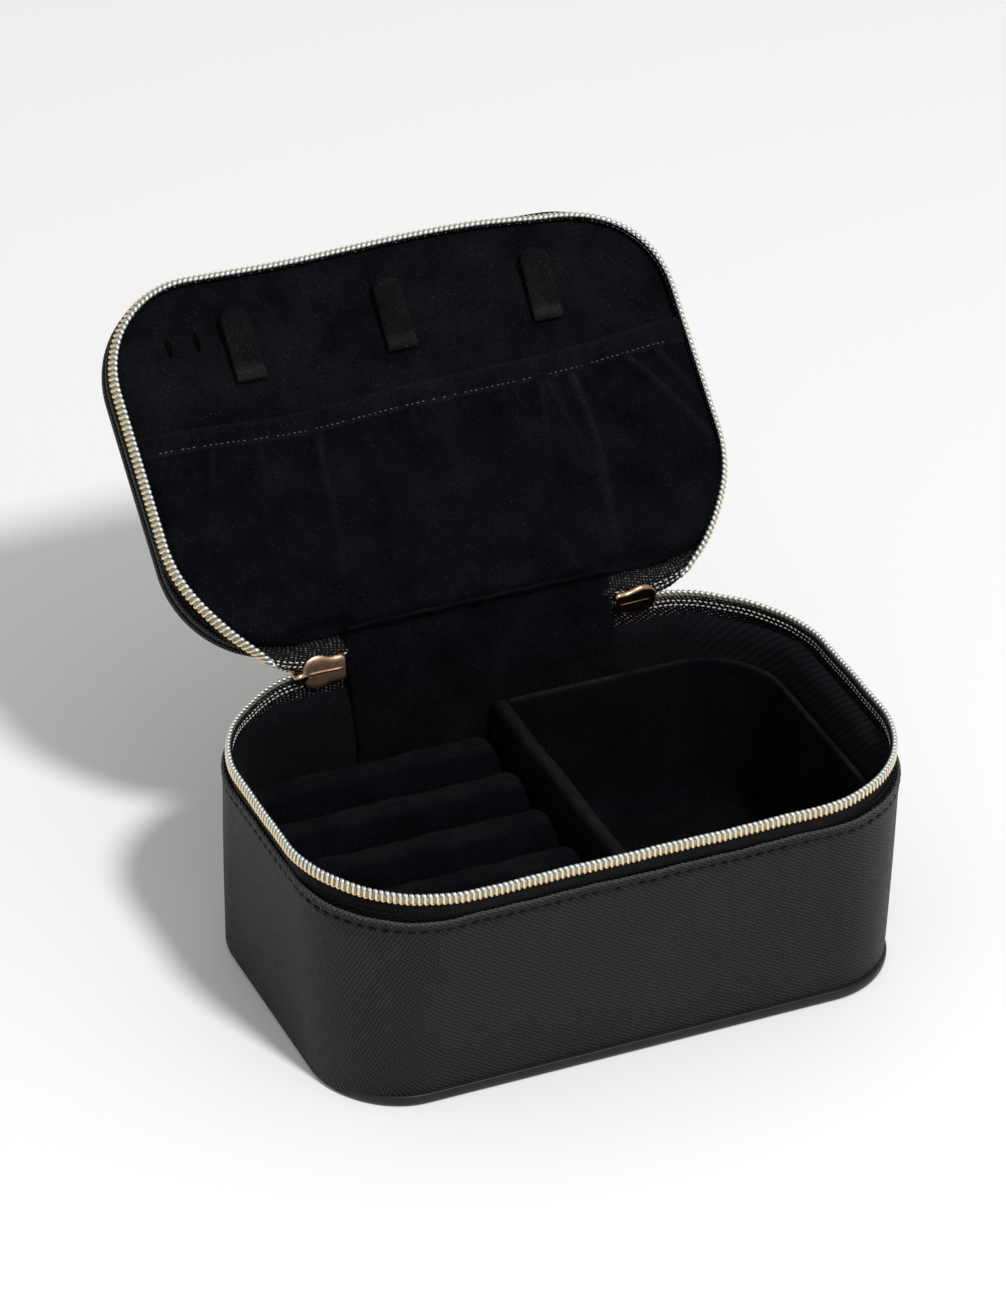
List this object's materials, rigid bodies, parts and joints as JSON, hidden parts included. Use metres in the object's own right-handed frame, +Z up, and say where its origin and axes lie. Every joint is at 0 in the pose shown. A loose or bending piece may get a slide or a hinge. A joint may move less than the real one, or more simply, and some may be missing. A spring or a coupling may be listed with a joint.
{
  "type": "jewelry box",
  "caption": "Zipped travel jewelry box with an open padded lid, ring rolls, a divided compartment, necklace tabs and an elastic pocket.",
  "frame": {"origin": "centre of the base underside, on the surface the box stands on", "axes": "+X to the right seen from the front, +Y from the front to the hinge side, +Z up; lid open at rest"},
  "size_m": [0.1628, 0.1846, 0.1395],
  "materials": {
    "leather": "black imitation leather, fine crosshatched grain, satin",
    "piping": "black folded seam edge, matte",
    "board": "grey paperboard, hidden",
    "lining": "black brushed lining, matte",
    "velvet": "black short-pile velvet, soft sheen",
    "foam": "soft foam, hidden",
    "tab": "black velvet-faced strap, matte",
    "zipper_tape": "black woven tape with pale stitching, matte",
    "zipper_coil": "pale gold metallised zipper coil, glossy",
    "elastic": "elastic braid, hidden",
    "metal": "polished rose gold plating"
  },
  "bodies": {
    "base": {"base_bottom_cover": "leather", "base_side_cover": "leather", "base_rim_hem": "leather", "hinge_flap_cover": "leather", "base_seam_piping": "piping", "base_bottom_board": "board", "base_wall_board": "board", "divider_board": "board", "base_wall_lining": "lining", "base_floor_lining": "lining", "compartment_liner": "lining", "compartment_floor": "lining", "ring_roll_1": "velvet", "ring_roll_2": "velvet", "ring_roll_3": "velvet", "ring_roll_4": "velvet", "ring_roll_5": "velvet", "divider_cover": "velvet", "hinge_flap_lining": "velvet", "ring_roll_foams": "foam", "base_zipper_tape": "zipper_tape", "zip_tail_left": "zipper_tape", "zip_tail_right": "zipper_tape", "base_zipper_coil": "zipper_coil", "slider_left": "metal", "slider_right": "metal"},
    "lid": {"lid_side_cover": "leather", "lid_rim_hem": "leather", "lid_seam_piping": "piping", "lid_wall_board": "board", "lid_top_board": "board", "lid_top_cover": "leather", "lid_zipper_tape": "zipper_tape", "lid_zipper_coil": "zipper_coil", "lid_pad_foam": "foam", "lid_panel_cover": "velvet", "necklace_hook_1": "tab", "necklace_hook_2": "tab", "necklace_hook_3": "tab", "pocket_panel": "velvet", "pocket_band": "velvet", "pocket_elastic": "elastic"},
    "puller_left": {"puller_left": "metal"},
    "puller_right": {"puller_right": "metal"}
  },
  "joints": [
    {"name": "lid_hinge", "type": "hinge", "parent": "base", "child": "lid", "pos_m": [0, 0.0514, 0.0692], "axis": [1, 0, 0], "range_deg": [0, 139], "deforming": ["hinge_flap_cover", "hinge_flap_lining"]},
    {"name": "puller_left_swing", "type": "hinge", "parent": "base", "child": "puller_left", "pos_m": [-0.043, 0.054, 0.0626], "axis": [1, 0, 0], "range_deg": [0, 90]},
    {"name": "puller_right_swing", "type": "hinge", "parent": "base", "child": "puller_right", "pos_m": [0.043, 0.054, 0.0626], "axis": [1, 0, 0], "range_deg": [0, 90]}
  ]
}
